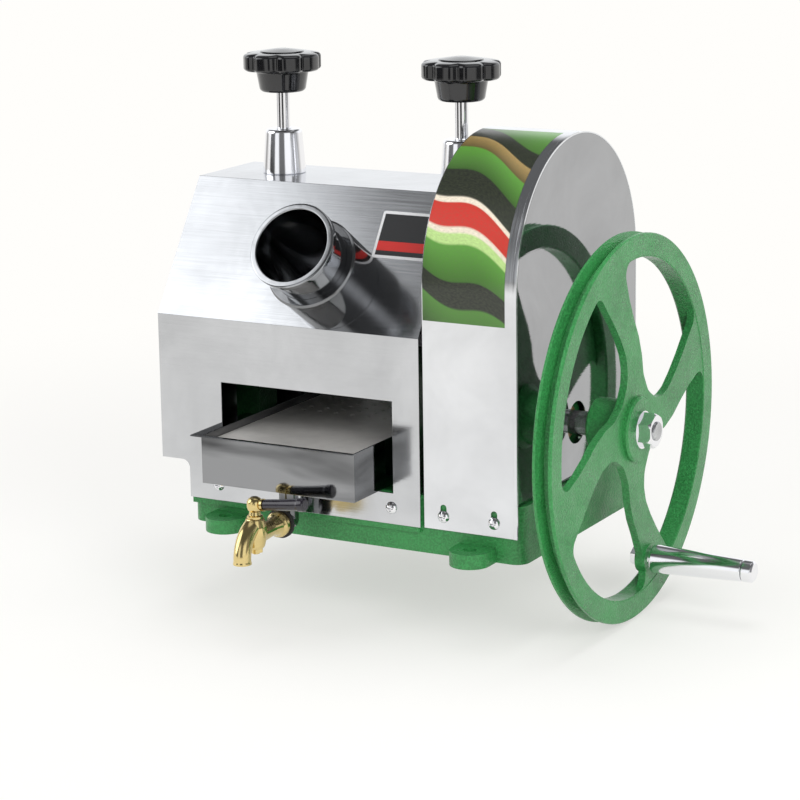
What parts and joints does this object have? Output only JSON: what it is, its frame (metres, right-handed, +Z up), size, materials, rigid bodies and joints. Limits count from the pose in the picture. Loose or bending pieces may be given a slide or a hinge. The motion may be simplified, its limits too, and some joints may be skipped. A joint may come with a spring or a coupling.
{
  "type": "manual sugarcane juicer",
  "caption": "Hand-cranked roller press for sugarcane with a spoked hand wheel, slanted feed tube, pull-out juice tray with a tap, and geared rollers under steel covers.",
  "frame": {"origin": "centre of the base's bolt-hole pattern, on the underside of the base", "axes": "+Z up; -Y towards the operator, where the feed tube and the juice tray face; +X towards the hand wheel"},
  "size_m": [0.6016, 0.4665, 0.57],
  "materials": {
    "green_enamel": "hammered green enamel over cast iron",
    "block_steel": "machined steel",
    "stainless": "polished stainless sheet",
    "roller_steel": "turned and fluted stainless",
    "gear_steel": "greased cut steel",
    "bronze": "turned bronze",
    "tap_brass": "polished cast brass",
    "chrome": "polished",
    "shaft_steel": "turned steel",
    "knob_black": "black phenolic",
    "grip_black": "black moulded grip",
    "rubber_seal": "black rubber",
    "film": "printed film"
  },
  "bodies": {
    "machine": {"base_casting": "green_enamel", "left_side_frame": "green_enamel", "right_side_frame": "green_enamel", "frame_caps": "green_enamel", "lower_roller_bushes": "bronze", "crank_bushes": "bronze", "outer_bearing_pedestal": "green_enamel", "turn_plate": "stainless", "feed_guide": "stainless", "bagasse_chute": "stainless", "screw_sleeves": "chrome", "main_cover": "stainless", "left_end_plate": "stainless", "gear_cover_wrap": "stainless", "gear_cover_side": "stainless", "gear_cover_back": "stainless", "gear_cover_film": "film", "feed_tube": "stainless", "feed_collar": "stainless", "tray_rails": "stainless", "cover_screws": "chrome", "frame_foot_bolts": "shaft_steel", "cap_and_pedestal_bolts": "shaft_steel"},
    "crank": {"crank_shaft": "shaft_steel", "crank_fittings": "shaft_steel", "crank_pinion": "gear_steel", "hand_wheel": "green_enamel", "hub_nut": "chrome", "handle_spindle": "chrome", "handle_nut": "chrome", "handle_cap": "chrome"},
    "grip": {"handle_grip": "chrome"},
    "top_carriage": {"bearing_blocks": "block_steel", "top_roller_bushes": "bronze", "thrust_pads": "shaft_steel"},
    "top_roll": {"top_roller": "roller_steel", "top_roller_gear": "gear_steel", "top_gear_fittings": "shaft_steel", "drive_gear": "gear_steel", "drive_gear_fixing": "shaft_steel"},
    "feed_roll": {"feed_roller": "roller_steel", "feed_roller_gear": "gear_steel", "feed_gear_fittings": "shaft_steel"},
    "discharge_roll": {"discharge_roller": "roller_steel", "discharge_roller_gear": "gear_steel", "discharge_gear_fittings": "shaft_steel"},
    "left_adjuster": {"adjusting_screw_left": "shaft_steel", "star_knob_left": "knob_black"},
    "right_adjuster": {"adjusting_screw_right": "shaft_steel", "star_knob_right": "knob_black"},
    "tray": {"juice_tray": "stainless", "strainer_plate": "stainless", "drain_pipe": "stainless", "tap_gasket": "rubber_seal", "tap_body": "tap_brass"},
    "tap_key": {"tap_plug": "tap_brass", "tap_plug_nut": "tap_brass", "tap_lever": "tap_brass", "tap_lever_grip": "grip_black"}
  },
  "joints": [
    {"name": "crank_spin", "type": "hinge", "parent": "machine", "child": "crank", "pos_m": [0.1, -0.015, 0.117], "axis": [1, 0, 0], "continuous": true},
    {"name": "grip_spin", "type": "hinge", "parent": "crank", "child": "grip", "pos_m": [0.31, 0.02002, -0.02886], "axis": [1, 0, 0], "continuous": true},
    {"name": "top_roller_lift", "type": "slide", "parent": "machine", "child": "top_carriage", "axis": [0, 0, 1], "range_m": [-0.0005, 0.002]},
    {"name": "top_roller_spin", "type": "hinge", "parent": "top_carriage", "child": "top_roll", "pos_m": [0, -0.01, 0.26442], "axis": [1, 0, 0], "continuous": true},
    {"name": "feed_roller_spin", "type": "hinge", "parent": "machine", "child": "feed_roll", "pos_m": [0, -0.059, 0.19435], "axis": [1, 0, 0], "continuous": true},
    {"name": "discharge_roller_spin", "type": "hinge", "parent": "machine", "child": "discharge_roll", "pos_m": [0, 0.039, 0.19435], "axis": [1, 0, 0], "continuous": true},
    {"name": "left_screw_turn", "type": "hinge", "parent": "top_carriage", "child": "left_adjuster", "pos_m": [-0.157, -0.01, 0.4], "axis": [0, 0, 1], "range_deg": [-90, 360]},
    {"name": "right_screw_turn", "type": "hinge", "parent": "top_carriage", "child": "right_adjuster", "pos_m": [0.057, -0.01, 0.4], "axis": [0, 0, 1], "range_deg": [-90, 360]},
    {"name": "tray_slide", "type": "slide", "parent": "machine", "child": "tray", "axis": [0, -1, 0], "range_m": [0, 0.18]},
    {"name": "tap_turn", "type": "hinge", "parent": "tray", "child": "tap_key", "pos_m": [-0.06, -0.243, 0.04], "axis": [0, 0, 1], "range_deg": [-90, 0]}
  ],
  "couplings": [
    {"joint": "top_roller_spin", "follows": "crank_spin", "ratio": -0.31111},
    {"joint": "feed_roller_spin", "follows": "crank_spin", "ratio": 0.31111},
    {"joint": "discharge_roller_spin", "follows": "crank_spin", "ratio": 0.31111},
    {"joint": "left_screw_turn", "follows": "top_roller_lift", "rad_per_m": 3141.5},
    {"joint": "right_screw_turn", "follows": "top_roller_lift", "rad_per_m": 3141.5}
  ]
}
